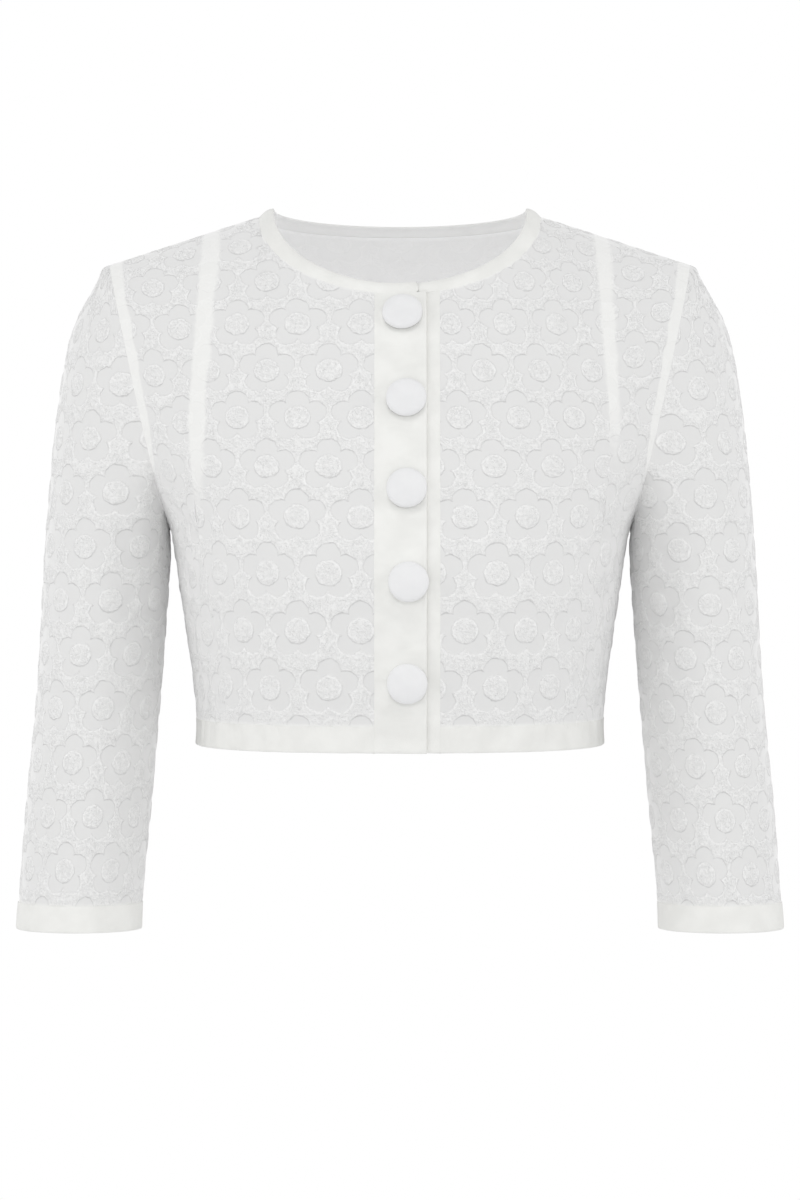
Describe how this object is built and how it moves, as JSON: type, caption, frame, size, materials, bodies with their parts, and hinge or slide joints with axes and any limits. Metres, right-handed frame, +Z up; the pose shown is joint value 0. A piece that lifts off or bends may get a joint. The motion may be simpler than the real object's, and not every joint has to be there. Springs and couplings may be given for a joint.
{
  "type": "cropped cardigan",
  "caption": "Cropped round-neck cardigan of embroidered cloth, filled out as worn, with set-in three-quarter sleeves, princess seams, a lapped placket and large covered buttons",
  "frame": {"origin": "between the shoulders, at half the height of the shoulder seams, where the wearer carries the garment", "axes": "+Z up, the front faces -Y, +X is the wearer's left"},
  "size_m": [0.522, 0.255, 0.4901],
  "materials": {
    "embroidered_cloth": "fine sheer white ground with raised white flower embroidery, matte",
    "doubled_cloth": "the same cloth folded double, warm white, matte",
    "button_cloth": "plain woven white cover, matte with a faint sheen"
  },
  "bodies": {
    "root": {"front_right": "embroidered_cloth", "front_left": "embroidered_cloth", "side_front_right": "embroidered_cloth", "side_front_left": "embroidered_cloth", "back": "embroidered_cloth", "sleeve_right": "embroidered_cloth", "sleeve_left": "embroidered_cloth", "cuff_right": "doubled_cloth", "cuff_left": "doubled_cloth", "neck_binding": "doubled_cloth", "placket_right": "doubled_cloth", "placket_left": "doubled_cloth", "hem_right": "doubled_cloth", "hem_left": "doubled_cloth", "hem_back": "doubled_cloth", "button_1": "button_cloth", "button_2": "button_cloth", "button_3": "button_cloth", "button_4": "button_cloth", "button_5": "button_cloth"}
  },
  "joints": []
}
